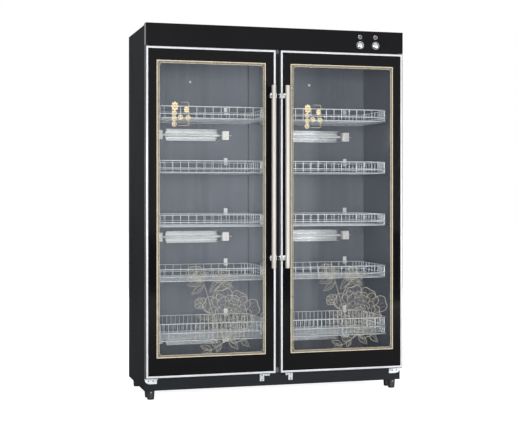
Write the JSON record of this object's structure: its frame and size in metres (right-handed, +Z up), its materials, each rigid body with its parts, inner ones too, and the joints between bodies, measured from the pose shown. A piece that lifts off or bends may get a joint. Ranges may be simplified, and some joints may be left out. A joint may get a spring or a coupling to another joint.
{
  "type": "dish sterilizer cabinet",
  "caption": "Free-standing dish sterilizer cabinet with framed glass doors on corner pivots, wire baskets, heater lamps and a control fascia.",
  "frame": {"origin": "centre of the bounding box's bottom, on the floor under the feet", "axes": "+Z up, +X to the right seen from the front, +Y towards the back panel; the doors face -Y"},
  "size_m": [1.2, 0.504, 1.647],
  "materials": {
    "black_paint": "semi-gloss black powder coat",
    "stainless": "brushed vertically",
    "basket_wire": "bright plated wire",
    "reflector": "polished",
    "heater_ceramic": "white, matt",
    "black_plastic": "moulded",
    "chrome_button": "polished",
    "clear_lens": "clear diffusing lens",
    "red_lens": "red diffusing lens",
    "zinc_plate": "bright zinc plate",
    "door_aluminium": "satin anodised",
    "door_glass": "toughened, tinted, printed black border",
    "rubber_gasket": "soft magnetic seal",
    "champagne_metal": "brushed champagne anodised"
  },
  "bodies": {
    "cabinet": {"back_panel": "black_paint", "base_plinth": "black_paint", "centre_post": "black_paint", "chamber_back": "stainless", "chamber_floor": "stainless", "chamber_roof": "stainless", "clear_indicator": "clear_lens", "control_box": "zinc_plate", "control_fascia": "black_paint", "left_basket_1": "basket_wire", "left_basket_2": "basket_wire", "left_basket_3": "basket_wire", "left_basket_4": "basket_wire", "left_basket_5": "basket_wire", "left_catch": "zinc_plate", "left_chamber_wall": "stainless", "left_front_foot": "black_plastic", "left_lower_heater_tube": "heater_ceramic", "left_lower_hinge": "zinc_plate", "left_lower_reflector": "reflector", "left_middle_heater_tube": "heater_ceramic", "left_middle_reflector": "reflector", "left_rear_foot": "black_plastic", "left_second_foot": "black_plastic", "left_side_panel": "black_paint", "left_upper_heater_tube": "heater_ceramic", "left_upper_hinge": "zinc_plate", "left_upper_reflector": "reflector", "mains_gland": "black_plastic", "red_indicator": "red_lens", "right_basket_1": "basket_wire", "right_basket_2": "basket_wire", "right_basket_3": "basket_wire", "right_basket_4": "basket_wire", "right_basket_5": "basket_wire", "right_catch": "zinc_plate", "right_chamber_wall": "stainless", "right_front_foot": "black_plastic", "right_lower_heater_tube": "heater_ceramic", "right_lower_hinge": "zinc_plate", "right_lower_reflector": "reflector", "right_middle_heater_tube": "heater_ceramic", "right_middle_reflector": "reflector", "right_rear_foot": "black_plastic", "right_second_foot": "black_plastic", "right_side_panel": "black_paint", "right_upper_heater_tube": "heater_ceramic", "right_upper_hinge": "zinc_plate", "right_upper_reflector": "reflector", "top_panel": "black_paint"},
    "left_door": {"left_door_frame": "door_aluminium", "left_door_glass": "door_glass", "left_door_gasket": "rubber_gasket", "left_door_handle": "champagne_metal"},
    "right_door": {"right_door_frame": "door_aluminium", "right_door_glass": "door_glass", "right_door_gasket": "rubber_gasket", "right_door_handle": "champagne_metal"},
    "left_push": {"left_button": "chrome_button"},
    "right_push": {"right_button": "chrome_button"}
  },
  "joints": [
    {"name": "left_door_hinge", "type": "hinge", "parent": "cabinet", "child": "left_door", "pos_m": [-0.59, -0.181, 0.099], "axis": [0, 0, -1], "range_deg": [0, 105]},
    {"name": "right_door_hinge", "type": "hinge", "parent": "cabinet", "child": "right_door", "pos_m": [0.59, -0.181, 0.099], "axis": [0, 0, 1], "range_deg": [0, 105]},
    {"name": "left_button_press", "type": "slide", "parent": "cabinet", "child": "left_push", "axis": [0, 1, 0], "range_m": [0, 0.003], "stiffness_N_per_m": 400},
    {"name": "right_button_press", "type": "slide", "parent": "cabinet", "child": "right_push", "axis": [0, 1, 0], "range_m": [0, 0.003], "stiffness_N_per_m": 400}
  ]
}
